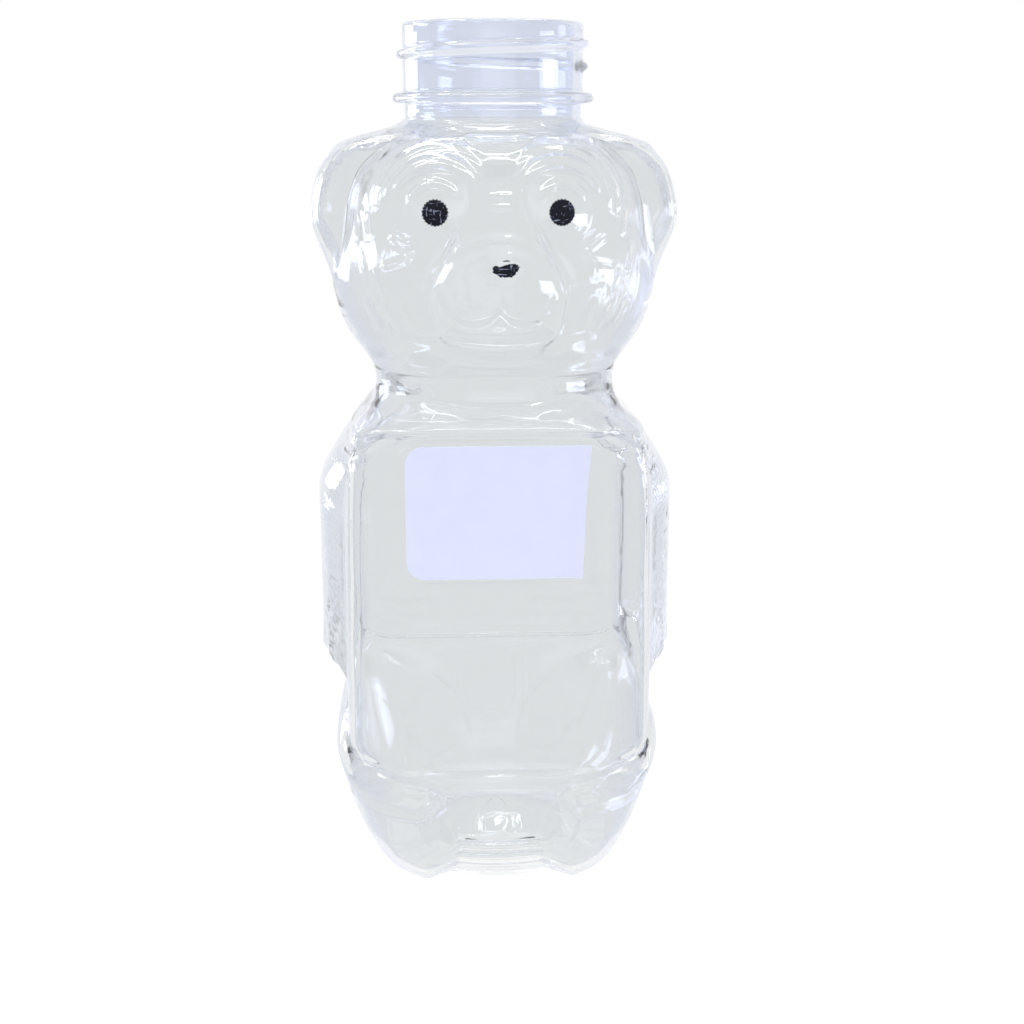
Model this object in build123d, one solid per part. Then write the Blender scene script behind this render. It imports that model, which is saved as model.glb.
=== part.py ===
from build123d import *
from math import asin, atan2, cos, degrees, pi, radians, sin
import os

# Clear squeeze bottle for honey, blow moulded in the shape of a sitting bear.
# The bear faces -Y, +Z is up, and the origin is the middle of the standing plane.
# All lengths are in millimetres.

# Neck finish: a 38 mm one-start screw finish
bore_radius = 15.6
root_radius = 17.5
crest_radius = 18.65
bead_radius = 19.6
below_bead_radius = 17.2
thread_pitch = 4.23
thread_turns = 1.12
thread_start_angle = -22.0
thread_root_width = 2.5
thread_crest_width = 0.9
thread_root_sink = 0.35
thread_run_out = 16.0
thread_stations_per_turn = 36
neck_height = 17.8
bead_height = 2.0
below_bead_height = 2.8
thread_below_rim = 8.3
rim_round = 0.9
mouth_chamfer = 0.5
bead_round = 0.7

# Blown body
waist_height = 99.8
head_height = 51.4
body_half_width = 30.4
body_front_depth = 30.6
body_back_depth = 32.9
head_half_width = 32.3
head_front_depth = 29.2
head_back_depth = 30.0
wall = 0.7
base_wall = 1.0
neck_blend_height = 2.6

# How the horizontal outline grows and shrinks with height, as shares of the sizes above
# height share, width share, front share, back share, squareness
body_shares = (
    (0.000, 0.715, 0.830, 0.790, 2.2),
    (0.012, 0.765, 0.850, 0.850, 2.2),
    (0.035, 0.820, 0.870, 0.905, 2.2),
    (0.075, 0.885, 0.885, 0.950, 2.3),
    (0.150, 0.960, 0.905, 0.990, 2.5),
    (0.205, 0.985, 0.950, 0.998, 2.9),
    (0.240, 0.988, 1.000, 1.000, 3.4),
    (0.265, 0.992, 1.000, 1.000, 5.0),
    (0.290, 1.000, 1.000, 1.000, 8.5),
    (0.340, 1.000, 1.000, 1.000, 11.0),
    (0.780, 0.995, 1.000, 1.000, 11.0),
    (0.860, 0.965, 1.000, 0.985, 9.0),
    (0.915, 0.920, 1.000, 0.935, 7.0),
    (0.945, 0.862, 0.970, 0.880, 4.4),
    (0.975, 0.808, 0.870, 0.832, 2.8),
    (1.000, 0.791, 0.795, 0.795, 2.3),
)
head_shares = (
    (0.065, 0.758, 0.830, 0.830, 2.15),
    (0.140, 0.835, 0.900, 0.900, 2.10),
    (0.220, 0.920, 0.950, 0.950, 2.15),
    (0.320, 0.975, 0.980, 0.980, 2.20),
    (0.430, 1.000, 1.000, 1.000, 2.25),
    (0.580, 0.950, 0.985, 0.985, 2.30),
    (0.700, 0.935, 0.965, 0.965, 2.25),
    (0.800, 0.890, 0.920, 0.920, 2.20),
    (0.880, 0.790, 0.840, 0.840, 2.15),
    (0.935, 0.690, 0.735, 0.735, 2.10),
    (0.975, 0.590, 0.640, 0.640, 2.00),
)

# Ears
ear_reach = 6.4
ear_top = 150.2
ear_top_blend = 3.8
ear_bottom = 120.0
ear_bottom_blend = 14.0
ear_front = 12.6
ear_front_blend = 4.0
ear_back = 13.0
ear_back_blend = 7.0
ear_middle = 1.0
ear_round_reach = 12.0
ear_round_share = 0.26

# Face
muzzle_bottom = 109.5
muzzle_height = 31.5
muzzle_half_width = 12.8
muzzle_reach = 4.6
# height share, half width share and reach share of the muzzle, from the chin to between the eyes
muzzle_shares = (
    (0.000, 0.47, 0.00),
    (0.063, 0.72, 0.24),
    (0.143, 0.91, 0.66),
    (0.286, 1.00, 0.96),
    (0.429, 0.93, 1.00),
    (0.603, 0.72, 0.82),
    (0.762, 0.52, 0.52),
    (0.889, 0.36, 0.24),
    (1.000, 0.27, 0.00),
)
muzzle_roundness = 2.4
muzzle_edge = 1.15
nose_height = 125.6
nose_half_width = 4.2
nose_half_height = 2.9
nose_reach = 0.8
cheek_spacing = 38.0
cheek_height = 122.0
cheek_half_width = 9.0
cheek_half_height = 9.5
cheek_reach = 0.9
eye_spacing = 23.0
eye_height = 135.0
eyeball_half_width = 6.2
eyeball_reach = 1.25
brow_radius = 9.6
brow_half_width = 3.0
brow_reach = 0.6
eye_print_radius = 2.35
nose_print_height = 125.8
nose_print_aside = 1.1
nose_print_width = 4.7
nose_print_tall = 3.0
print_thickness = 0.12

# Arms
arm_reach = 5.9
arm_top = 96.5
arm_top_blend = 18.0
paw_bottom = 40.5
paw_blend = 5.0
arm_half_thickness = 24.0
arm_set_forward = 1.0
arm_roundness = 2.5
arm_edge = 1.6

# Legs and feet
thigh_reach = 3.4
foot_reach = 5.8
thigh_top = 34.5
foot_top = 22.5
leg_blend = 4.0
leg_sole_blend = 4.0
leg_sole_share = 0.8
leg_front_angle = 52.0
leg_side_angle = 12.0
leg_back_angle = 62.0
leg_back_blend = 24.0
foot_gap_half_width = 7.6
foot_gap_blend = 3.4
foot_slant_height = 8.0
foot_slant_share = 0.3
toe_height = 4.5
toe_slant_share = 0.45

# Label panels, front and back
panel_half_width = 26.7
panel_bottom = 25.3
back_panel_bottom = 31.5
panel_top = 94.4
panel_bottom_corner = 6.8
panel_top_corner = 3.2
panel_recess = 1.4

# Base
push_up_radius = 17.0
push_up_height = 6.0

# Paper label
label_left = 17.9
label_right_top = 17.4
label_right_bottom = 16.0
label_nick_share = 0.37
label_top = 92.0
label_height = 26.2
label_corner = 3.6
paper_thickness = 0.12
adhesive_thickness = 0.05

# How finely the blown body is sectioned
points_per_section = 96
section_step = 2.4
crown_step = 1.2
heel_steps = 6
heel_height = 12.0
crown_height = 139.0

neck_seat = waist_height + head_height
rim_height = neck_seat + neck_height
shoulder_radius = below_bead_radius
bead_bottom = neck_seat + below_bead_height
bead_top = bead_bottom + bead_height


def smooth_step(t):
    """Rises smoothly from 0 to 1 as t goes from 0 to 1."""
    t = max(0.0, min(1.0, t))
    return t * t * (3 - 2 * t)


def bump(t):
    """A smooth hill of height 1 at t = 0 that is gone at t = 1 and -1."""
    return (1 - t * t) ** 2 if abs(t) < 1 else 0.0


def outline_stations():
    """Height, half width, front depth, back depth and squareness, from the base to the neck."""
    rows = [
        (h * waist_height, w * body_half_width, f * body_front_depth, b * body_back_depth, n)
        for h, w, f, b, n in body_shares
    ]
    rows += [
        (waist_height + h * head_height, w * head_half_width, f * head_front_depth, b * head_back_depth, n)
        for h, w, f, b, n in head_shares
    ]
    rows.append((neck_seat, shoulder_radius, shoulder_radius, shoulder_radius, 2.0))
    return rows


def muzzle_stations():
    """Height, half width and reach of the muzzle, from the chin to between the eyes."""
    return [
        (muzzle_bottom + h * muzzle_height, w * muzzle_half_width, r * muzzle_reach)
        for h, w, r in muzzle_shares
    ]


OUTLINE = outline_stations()
MUZZLE = muzzle_stations()


def slope_at(rows, k, column):
    """Slope at a station that keeps a cubic between stations from overshooting."""
    steps = [
        (rows[i + 1][column] - rows[i][column]) / (rows[i + 1][0] - rows[i][0])
        for i in (k - 1, k)
        if 0 <= i < len(rows) - 1
    ]
    below, above = steps[0], steps[-1]
    return 0.0 if below * above <= 0 else 2 * below * above / (below + above)


def values_at(rows, height):
    """The values of every column but the first, on smooth curves through the rows, at a height."""
    height = max(rows[0][0], min(rows[-1][0], height))
    k = 0
    while k < len(rows) - 2 and height > rows[k + 1][0]:
        k += 1
    span = rows[k + 1][0] - rows[k][0]
    t = (height - rows[k][0]) / span
    found = []
    for column in range(1, len(rows[0])):
        low, high = rows[k][column], rows[k + 1][column]
        found.append(
            low
            + t * t * (3 - 2 * t) * (high - low)
            + t * (1 - t) ** 2 * slope_at(rows, k, column) * span
            - t * t * (1 - t) * slope_at(rows, k + 1, column) * span
        )
    return found


def ear_swell(height, y):
    """How far the ears stand out of the sides of the head."""
    rise = smooth_step((ear_top - height) / ear_top_blend)
    rise *= smooth_step((height - ear_bottom) / ear_bottom_blend)
    rise *= smooth_step((y + ear_front) / ear_front_blend) * smooth_step((ear_back - y) / ear_back_blend)
    return ear_reach * rise * (1 - ear_round_share * ((y - ear_middle) / ear_round_reach) ** 2)


def muzzle_swell(height, x):
    """How far the muzzle stands out of the face, with the ball of the nose."""
    half_width, reach = values_at(MUZZLE, height)
    across = min(1.0, abs(x) / half_width)
    swell = reach * (1 - across**muzzle_roundness) ** muzzle_edge
    across, up = x / nose_half_width, (height - nose_height) / nose_half_height
    return swell + nose_reach * bump((across**2 + up**2) ** 0.5)


def face_swell(height, x):
    """How far the muzzle, the cheeks, the eyeballs and the brows stand out of the face."""
    swell = muzzle_swell(height, x)
    across, up = (abs(x) - cheek_spacing / 2) / cheek_half_width, (height - cheek_height) / cheek_half_height
    swell += cheek_reach * bump((across**2 + up**2) ** 0.5)
    across, up = abs(x) - eye_spacing / 2, height - eye_height
    away = (across**2 + up**2) ** 0.5
    swell += eyeball_reach * bump(away / eyeball_half_width)
    above = smooth_step(up / brow_radius + 1 / 3)
    return swell + brow_reach * above * bump((away - brow_radius) / brow_half_width)


def arm_swell(height, y):
    """How far the arms, which hang down the sides to blunt paws, stand out."""
    rise = smooth_step((arm_top - height) / arm_top_blend)
    rise *= smooth_step((height - paw_bottom) / paw_blend)
    along = min(1.0, abs(y + arm_set_forward) / arm_half_thickness)
    return arm_reach * rise * (1 - along**arm_roundness) ** arm_edge


def leg_swell(height, x, y):
    """How far the thighs stand out at the sides and the feet at the front."""
    ahead = degrees(atan2(-y, abs(x)))
    turn = smooth_step((ahead - leg_side_angle) / (leg_front_angle - leg_side_angle))
    top = thigh_top + (foot_top - thigh_top) * turn
    reach = thigh_reach + (foot_reach - thigh_reach) * turn
    gap = foot_gap_half_width + foot_slant_share * max(0.0, height - foot_slant_height)
    gap += toe_slant_share * max(0.0, toe_height - height)
    rise = smooth_step((top - height) / leg_blend)
    rise *= smooth_step(height / leg_sole_blend + leg_sole_share)
    rise *= smooth_step((ahead + leg_back_angle) / leg_back_blend)
    if y < 0:
        rise *= smooth_step((abs(x) - gap) / foot_gap_blend)
    return reach * rise


def outside_radius(height, angle):
    """Distance from the upright axis to the outside of the bottle."""
    half_width, front, back, squareness = values_at(OUTLINE, height)
    across, along = abs(cos(angle)), abs(sin(angle))
    depth = front if sin(angle) < 0 else back
    radius = ((across / half_width) ** squareness + (along / depth) ** squareness) ** (-1 / squareness)
    x, y = radius * cos(angle), radius * sin(angle)
    radius += ear_swell(height, y)
    radius += arm_swell(height, y)
    radius += leg_swell(height, x, y)
    if y < 0:
        radius += face_swell(height, x)
    return radius


def inside_radius(height, angle):
    """Distance from the axis to the inside: the outside, taken in by a ball of the wall's size."""
    found = []
    for k in range(-3, 4):
        tilt = k * pi / 6
        probe = height + wall * sin(tilt)
        if 0 <= probe <= neck_seat:
            found.append(outside_radius(probe, angle) - wall * cos(tilt))
    into_neck = smooth_step(1 + (height - neck_seat) / neck_blend_height)
    return min(found) * (1 - into_neck) + bore_radius * into_neck


def section(height, radius_at, growth=0.0):
    """One closed horizontal section through points at even angles, its seam at the back."""
    points = []
    for k in range(points_per_section):
        angle = pi / 2 + 2 * pi * k / points_per_section
        radius = radius_at(height, angle) + growth
        points.append((radius * cos(angle), radius * sin(angle), height))
    even = [k / points_per_section for k in range(points_per_section + 1)]
    return Wire([Edge.make_spline(points, periodic=True, parameters=even)])


def section_heights(start, end):
    """Heights of the sections: close together at the heel and the crown, wider between them."""
    heel = [heel_height * (1 - cos(k * pi / 2 / heel_steps)) for k in range(heel_steps)]
    sides = max(2, round((crown_height - heel_height) / section_step))
    middle = [heel_height + (crown_height - heel_height) * k / sides for k in range(sides)]
    tops = max(2, round((end - crown_height) / crown_step))
    crown = [crown_height + (end - crown_height) * k / tops for k in range(tops + 1)]
    return [start] + [h for h in heel + middle + crown if h > start + wall / 2]


def outer_form(growth=0.0):
    """The bottle's outer form as one solid, grown outwards by a small amount if asked."""
    heights = section_heights(0.0, neck_seat)
    return Solid.make_loft([section(h, outside_radius, growth) for h in heights], ruled=True)


def inner_form():
    """The space inside the bottle below the neck finish."""
    heights = section_heights(base_wall, neck_seat)
    return Solid.make_loft([section(h, inside_radius) for h in heights], ruled=True)


def panel_block(facing, inset=0.0):
    """The block cut away over the front (-1) or back (1) label panel, or the inside's share of it."""
    depth = body_front_depth if facing < 0 else body_back_depth
    bottom = panel_bottom if facing < 0 else back_panel_bottom
    outline = Rectangle(2 * (panel_half_width + inset), panel_top - bottom + 2 * inset)
    outline = fillet(outline.vertices().group_by(Axis.Y)[-1], panel_top_corner + inset)
    outline = fillet(outline.vertices().group_by(Axis.Y)[0], panel_bottom_corner + inset)
    middle = (0, facing * (depth - panel_recess - inset), (panel_top + bottom) / 2)
    return extrude(Plane(middle, (-facing, 0, 0), (0, facing, 0)) * outline, depth)


def push_up_ball(growth):
    """The ball that presses the middle of the base upwards."""
    ball = (push_up_radius**2 + push_up_height**2) / (2 * push_up_height)
    return Pos(0, 0, push_up_height - ball) * Sphere(ball + growth)


def seat_face(form):
    """The flat top face of a form, at the neck seat."""
    return form.faces().sort_by(Axis.Z)[-1]


def shell_between(outside, inside):
    """The solid between an outer and an inner form, open at the neck seat."""
    outer_top, inner_top = seat_face(outside), seat_face(inside)
    faces = [face for face in outside.faces() if not face.is_same(outer_top)]
    faces += [face for face in inside.faces() if not face.is_same(inner_top)]
    faces.append(Face(outer_top.outer_wire(), [inner_top.outer_wire()]))
    return Solid(Shell(faces))


def make_bottle_body():
    """The blown shell from the standing ring to the neck seat."""
    outside, inside = outer_form(), inner_form()
    for facing in (-1, 1):
        outside = outside - panel_block(facing)
        inside = inside - panel_block(facing, wall)
    outside = outside - push_up_ball(0.0)
    inside = inside - push_up_ball(base_wall)
    return shell_between(outside, inside)


def make_thread():
    """One raised helical thread that fades in and out at its two ends."""
    steps = round(thread_turns * thread_stations_per_turn)
    middle_height = rim_height - thread_below_rim
    wires = []
    for k in range(steps + 1):
        turned = 360.0 * thread_turns * k / steps
        angle = radians(thread_start_angle + turned)
        run = min(turned, 360.0 * thread_turns - turned) / thread_run_out
        tall = (crest_radius - root_radius) * (0.02 + 0.98 * smooth_step(run))
        height = middle_height + thread_pitch * turned / 360.0
        sunk = root_radius - thread_root_sink
        crest = root_radius + tall
        corners = (
            (sunk, height - thread_root_width / 2),
            (crest, height - thread_crest_width / 2),
            (crest, height + thread_crest_width / 2),
            (sunk, height + thread_root_width / 2),
        )
        wires.append(
            Wire.make_polygon([(r * cos(angle), r * sin(angle), z) for r, z in corners], close=True)
        )
    return Solid.make_loft(wires, ruled=True)


def make_neck_finish():
    """The thick-walled neck: bore, screw thread, transfer bead and sealing rim."""
    tube = Solid.make_cylinder(root_radius, rim_height - bead_top, Plane.XY.offset(bead_top))
    tube = fillet(tube.edges().group_by(Axis.Z)[-1], rim_round)
    bead = Solid.make_cylinder(bead_radius, bead_height, Plane.XY.offset(bead_bottom))
    bead = fillet(bead.edges().filter_by(GeomType.CIRCLE), bead_round)
    collar = Solid.make_cylinder(below_bead_radius, below_bead_height, Plane.XY.offset(neck_seat))
    solid = tube + bead + collar + make_thread()
    bore = Solid.make_cylinder(bore_radius, neck_height, Plane.XY.offset(neck_seat))
    solid = solid - bore
    mouth = [
        edge
        for edge in solid.edges().filter_by(GeomType.CIRCLE)
        if abs(edge.radius - bore_radius) < mouth_chamfer / 2 and abs(edge.center().Z - rim_height) < mouth_chamfer
    ]
    return chamfer(mouth, mouth_chamfer)


def label_outline():
    """The label's face: two rounded corners at one end, and cut by hand at the other."""
    bottom = label_top - label_height
    nick = label_top - label_nick_share * label_height
    nick_x = (label_right_top + label_right_bottom) / 2 - (label_right_top - label_right_bottom) / 4
    corner = label_corner
    edge = Polyline(
        (-label_left + corner, label_top),
        (label_right_top, label_top),
        (nick_x, nick),
        (label_right_bottom, bottom),
        (-label_left + corner, bottom),
    )
    lower = RadiusArc((-label_left + corner, bottom), (-label_left, bottom + corner), corner)
    side = Line((-label_left, bottom + corner), (-label_left, label_top - corner))
    upper = RadiusArc((-label_left, label_top - corner), (-label_left + corner, label_top), corner)
    return make_face(edge + lower + side + upper)


def make_label_layer(lift, thickness):
    """One flat layer of the label, lifted off the front panel by the layers under it."""
    front = Plane((0, panel_recess - body_front_depth - lift, 0), (1, 0, 0), (0, -1, 0))
    return extrude(front * label_outline(), thickness)


def eye_stamp(side):
    """A round bar that stands where an eye is printed."""
    plane = Plane((side * eye_spacing / 2, 0, eye_height), (1, 0, 0), (0, -1, 0))
    return plane * extrude(Circle(eye_print_radius), 2 * head_front_depth)


def nose_stamp():
    """A bar with a nose's outline: broad and flat above, narrow and round below."""
    half = nose_print_width / 2
    plane = Plane((nose_print_aside, 0, nose_print_height), (1, 0, 0), (0, -1, 0))
    return plane * extrude(Ellipse(half, nose_print_tall / 2), 2 * head_front_depth)


def main():
    os.makedirs("parts", exist_ok=True)
    pieces = {
        "bottle_body": make_bottle_body(),
        "neck_finish": make_neck_finish(),
        "label_adhesive": make_label_layer(0.0, adhesive_thickness),
        "label_paper": make_label_layer(adhesive_thickness, paper_thickness),
    }
    plain, inked = outer_form(), outer_form(print_thickness)
    stamps = {"eye_print_left": eye_stamp(-1), "eye_print_right": eye_stamp(1), "nose_print": nose_stamp()}
    for name, stamp in stamps.items():
        pieces[name] = (stamp & inked) - plain
    for name, piece in pieces.items():
        export_step(piece, f"parts/{name}.step")


main()
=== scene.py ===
"""Looks of the honey bear bottle: clear blown PET, a bare paper label and printed eyes and nose.

Sizes inside the classes are in millimetres, and become metres where a mesh is made.
The bear faces -Y, +Z is up, and the origin is on the neck's axis where the base stands.
"""

from __future__ import annotations

import logging
import math
from dataclasses import dataclass, field
from enum import Enum

import bpy
import numpy as np
from bpy.types import ID, Material, Node, NodeSocket, NodeTree, Object
from mathutils import Euler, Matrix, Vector

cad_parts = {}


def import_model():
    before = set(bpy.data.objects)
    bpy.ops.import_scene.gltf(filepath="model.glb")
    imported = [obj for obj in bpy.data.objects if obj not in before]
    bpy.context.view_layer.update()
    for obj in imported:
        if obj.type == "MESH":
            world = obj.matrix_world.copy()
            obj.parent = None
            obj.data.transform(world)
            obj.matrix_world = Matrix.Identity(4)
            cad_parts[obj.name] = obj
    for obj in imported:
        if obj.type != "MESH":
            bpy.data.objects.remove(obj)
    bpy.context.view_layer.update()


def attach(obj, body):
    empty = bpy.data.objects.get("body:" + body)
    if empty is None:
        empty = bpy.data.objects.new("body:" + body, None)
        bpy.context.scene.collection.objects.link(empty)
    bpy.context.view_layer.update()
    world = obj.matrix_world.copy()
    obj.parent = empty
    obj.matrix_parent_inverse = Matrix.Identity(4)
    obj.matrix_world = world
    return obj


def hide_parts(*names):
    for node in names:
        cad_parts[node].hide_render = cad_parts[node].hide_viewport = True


LOG = logging.getLogger("honey_bear")
MM = 0.001
Grid = np.ndarray
# where a form starts and how far it takes to rise, where it ends and how far it takes to fall
Span = tuple[float, float, float, float]
Pair = tuple[float, float]
Triple = tuple[float, float, float]


def linear(hex_colour: str) -> Span:
    """Turn an sRGB hex colour into the linear colour that a shader wants.

    Args:
        hex_colour: six hex digits after a hash.

    Returns:
        Linear red, green and blue, and 1 for alpha.
    """
    channels = [int(hex_colour[k : k + 2], 16) / 255 for k in (1, 3, 5)]
    red, green, blue = (c / 12.92 if c <= 0.04045 else ((c + 0.055) / 1.055) ** 2.4 for c in channels)
    return (red, green, blue, 1.0)


def smooth(t: Grid | float) -> Grid:
    """Rise from 0 to 1 as t goes from 0 to 1: 3t^2 - 2t^3, held flat outside."""
    t = np.clip(t, 0.0, 1.0)
    return t * t * (3.0 - 2.0 * t)


def span(t: Grid, start: float, rise: float, end: float, fall: float) -> Grid:
    """1 inside a span of t and 0 outside it, with a smooth rise at its start and fall at its end."""
    return smooth((t - start) / rise) * smooth((end - t) / fall)


def hill(t: Grid) -> Grid:
    """A rounded hill, (1 - t^2)^2, that is gone from t = 1 and -1 on."""
    return np.clip(1.0 - t * t, 0.0, None) ** 2


def mound(x: Grid, z: Grid, middle: tuple, size: tuple) -> Grid:
    """A hill over an ellipse, which has its middle, half width and half height given."""
    return hill(np.hypot((x - middle[0]) / size[0], (z - middle[1]) / size[1]))


def ridge(distance: Grid, width: float | Grid) -> Grid:
    """A bell-shaped ridge, exp(-(distance / width)^2)."""
    return np.exp(-((distance / width) ** 2))


def stroke(x: Grid, z: Grid, start: tuple, end: tuple, width: float) -> Grid:
    """A ridge along a straight stroke: a bell of the distance to the line between two points."""
    run = np.array(end) - np.array(start)
    along = np.clip(((x - start[0]) * run[0] + (z - start[1]) * run[1]) / (run @ run), 0, 1)
    return ridge(np.hypot(x - start[0] - along * run[0], z - start[1] - along * run[1]), width)


def through(stations: Grid, heights: Grid) -> Grid:
    """Smooth curves through stations, read off at the given heights.

    Each column is a cubic between stations whose slope at a station is the harmonic
    mean of the slopes on its two sides, or 0 at a turn, so it never overshoots.

    Args:
        stations: rows that start with a height and go on with one value per curve.
        heights: where to read the curves, in any shape.

    Returns:
        The values, with one more axis than the heights, for the curves.
    """
    z, values = stations[:, 0], stations[:, 1:]
    steps = np.diff(values, axis=0) / np.diff(z)[:, None]
    product = steps[:-1] * steps[1:]
    total = steps[:-1] + steps[1:]
    inner = np.where(product > 0, 2 * product / np.where(total == 0, 1, total), 0.0)
    slopes = np.vstack([steps[:1], inner, steps[-1:]])
    heights = np.clip(heights, z[0], z[-1])
    k = np.clip(np.searchsorted(z, heights, side="right") - 1, 0, len(z) - 2)
    reach = (z[k + 1] - z[k])[..., None]
    t = (heights - z[k])[..., None] / reach
    low, high = values[k], values[k + 1]
    ends = t * (1 - t) ** 2 * slopes[k] * reach - t * t * (1 - t) * slopes[k + 1] * reach
    return low + t * t * (3 - 2 * t) * (high - low) + ends


def polar(radius: Grid, z: Grid, angles: Grid) -> Grid:
    """Points from distances, heights and angles: (r cos a, r sin a, z)."""
    return np.stack([radius * np.cos(angles), radius * np.sin(angles), z], axis=-1)


def tube_faces(rows: int, columns: int) -> Grid:
    """Quads of a grid whose columns close on themselves.

    The quad of row i and column j joins points (i, j), (i, j+1), (i+1, j+1) and (i+1, j),
    with j+1 counted round, so columns that run anticlockwise and rows that rise face outwards.
    """
    i = np.arange(rows - 1)[:, None] * columns
    j = np.arange(columns)[None, :]
    k = (j + 1) % columns
    return np.stack([i + j, i + k, i + columns + k, i + columns + j], axis=-1).reshape(-1, 4)


def cap_faces(ring_start: int, columns: int, pole: int, upward: bool) -> Grid:
    """Triangles that close a ring of points onto a pole, facing up or down."""
    j = ring_start + np.arange(columns)
    k = ring_start + (np.arange(columns) + 1) % columns
    first, second = (j, k) if upward else (k, j)
    return np.stack([first, second, np.full(columns, pole)], axis=-1)


def mesh_object(name: str, points_mm: Grid, faces: list[Grid], material: Material) -> Object:
    """Put a mesh into the scene with smooth shading.

    Args:
        name: the piece's name.
        points_mm: an N by 3 array of points in millimetres.
        faces: arrays of point numbers, a row to a face, counter-clockwise seen from outside.
        material: the piece's finish.

    Returns:
        The object, at the origin, with its place in its mesh.
    """
    mesh = bpy.data.meshes.new(name)
    mesh.from_pydata((points_mm * MM).tolist(), [], [face for group in faces for face in group.tolist()])
    mesh.validate()
    mesh.polygons.foreach_set("use_smooth", np.ones(len(mesh.polygons), dtype=bool))
    mesh.materials.append(material)
    mesh.update()
    piece = bpy.data.objects.new(name, mesh)
    bpy.context.scene.collection.objects.link(piece)
    return piece


def attribute(piece: Object, name: str, values: Grid) -> None:
    """Store one number per point on a piece, for its material to read."""
    layer = piece.data.attributes.new(name, "FLOAT", "POINT")
    layer.data.foreach_set("value", values.astype(np.float32).ravel())


def add_node(tree: NodeTree, kind: str, settings: dict | None = None) -> Node:
    """Add one shader node with its settings and links.

    Args:
        tree: the node tree that the node goes into.
        kind: the node's type name, without the ShaderNode that all begin with.
        settings: properties of the node, and its inputs by name or number. An input that is
            given an output socket, or a node, which stands for its first output, is linked
            to it. Any other is given a value.

    Returns:
        The new node.
    """
    node = tree.nodes.new("ShaderNode" + kind)
    for key, value in (settings or {}).items():
        if isinstance(value, (Node, NodeSocket)):
            source = value.outputs[0] if isinstance(value, Node) else value
            tree.links.new(source, node.inputs[key])
        elif isinstance(key, int) or key in node.inputs:
            node.inputs[key].default_value = value
        else:
            setattr(node, key, value)
    return node


def new_material(name: str) -> tuple[Material, NodeTree, NodeSocket]:
    """Make a node material, and return it with its tree and the Object coordinates there."""
    material = bpy.data.materials.new(name)
    material.use_nodes = True
    tree = material.node_tree
    tree.nodes.clear()
    return material, tree, add_node(tree, "TexCoord").outputs["Object"]


@dataclass(frozen=True)
class ClearPet:
    """Stretch-blown PET: water-clear and glossy, so only its edges and reflections show it.

    It is faintly grey where the eye looks through much of it, and faintly blue where the
    wall is seen edge-on, because the eye then looks along more plastic. The mould's fur lines
    and the uneven flow of the blown wall bend the reflections. Lamp light passes it,
    so its shadow is faint.
    """

    tint: str = "#EBEDEE"
    neck_tint: str = "#E5E9F2"
    edge_tint: str = "#C9D2EC"
    edge_start: float = 0.45
    shade: str = "#FCFCFC"
    ior: float = 1.57
    roughness: float = 0.015
    # spacing of the lines, scale along a line as a share of the scale across it, and depth
    fur: Triple = (1.15, 0.22, 0.10)
    ruffle: Triple = (1.7, 0.35, 0.08)
    flow_size: float = 16.0
    flow_depth: float = 0.05

    def lines(self, tree: NodeTree, place: NodeSocket, mask: str, scale: tuple) -> Node:
        """Stretched noise that shows only where an attribute of the mesh is above 0.

        Args:
            tree: the material's tree.
            place: the Object coordinates.
            mask: the attribute's name.
            scale: how many ripples there are to a metre along X, Y and Z.

        Returns:
            The node with the ripples' height, 0 to 1.
        """
        shown = add_node(tree, "Attribute", {"attribute_name": mask}).outputs["Fac"]
        stretched = add_node(tree, "Mapping", {"Scale": scale, "Vector": place})
        look = {"Scale": 1.0, "Detail": 1.5, "Distortion": 0.5, "Vector": stretched}
        noise = add_node(tree, "TexNoise", look)
        return add_node(tree, "Math", {"operation": "MULTIPLY", 0: noise, 1: shown})

    def build(self) -> Material:
        """Make the material: tinted refraction, with bump from fur lines and from the wall's flow."""
        material, tree, place = new_material("PET clear, blown and glossy")
        slow, upright, level = (1 / (size * MM) for size in (self.flow_size, self.fur[0], self.ruffle[0]))
        flow = add_node(tree, "TexNoise", {"Scale": slow, "Detail": 1.0, "Vector": place})
        fur_scale = (upright, upright, self.fur[1] * upright)
        ruffle_scale = (self.ruffle[1] * level, self.ruffle[1] * level, level)
        normal = {}
        for height, depth in (
            (flow, self.flow_depth),
            (self.lines(tree, place, "fur", fur_scale), self.fur[2]),
            (self.lines(tree, place, "ruffle", ruffle_scale), self.ruffle[2]),
        ):
            bump = {"Strength": 1.0, "Distance": depth * MM, "Height": height}
            normal = {"Normal": add_node(tree, "Bump", {**bump, **normal})}
        thick = add_node(tree, "Attribute", {"attribute_name": "thick"}).outputs["Fac"]
        tints = {6: linear(self.tint), 7: linear(self.neck_tint)}
        colour = add_node(tree, "Mix", {"data_type": "RGBA", 0: thick, **tints}).outputs[2]
        slant = add_node(tree, "LayerWeight", {"Blend": 0.5}).outputs["Facing"]
        edge = add_node(tree, "MapRange", {"From Min": self.edge_start, "From Max": 1.0, "Value": slant})
        tints = {6: colour, 7: linear(self.edge_tint)}
        colour = add_node(tree, "Mix", {"data_type": "RGBA", 0: edge, **tints}).outputs[2]
        surface = {"Roughness": self.roughness, "IOR": self.ior, "Transmission Weight": 1.0}
        shader = add_node(tree, "BsdfPrincipled", {**surface, "Base Color": colour, **normal})
        shadow = add_node(tree, "LightPath").outputs["Is Shadow Ray"]
        passing = add_node(tree, "BsdfTransparent", {"Color": linear(self.shade)})
        both = add_node(tree, "MixShader", {0: shadow, 1: shader, 2: passing})
        add_node(tree, "OutputMaterial", {"Surface": both})
        return material


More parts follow.
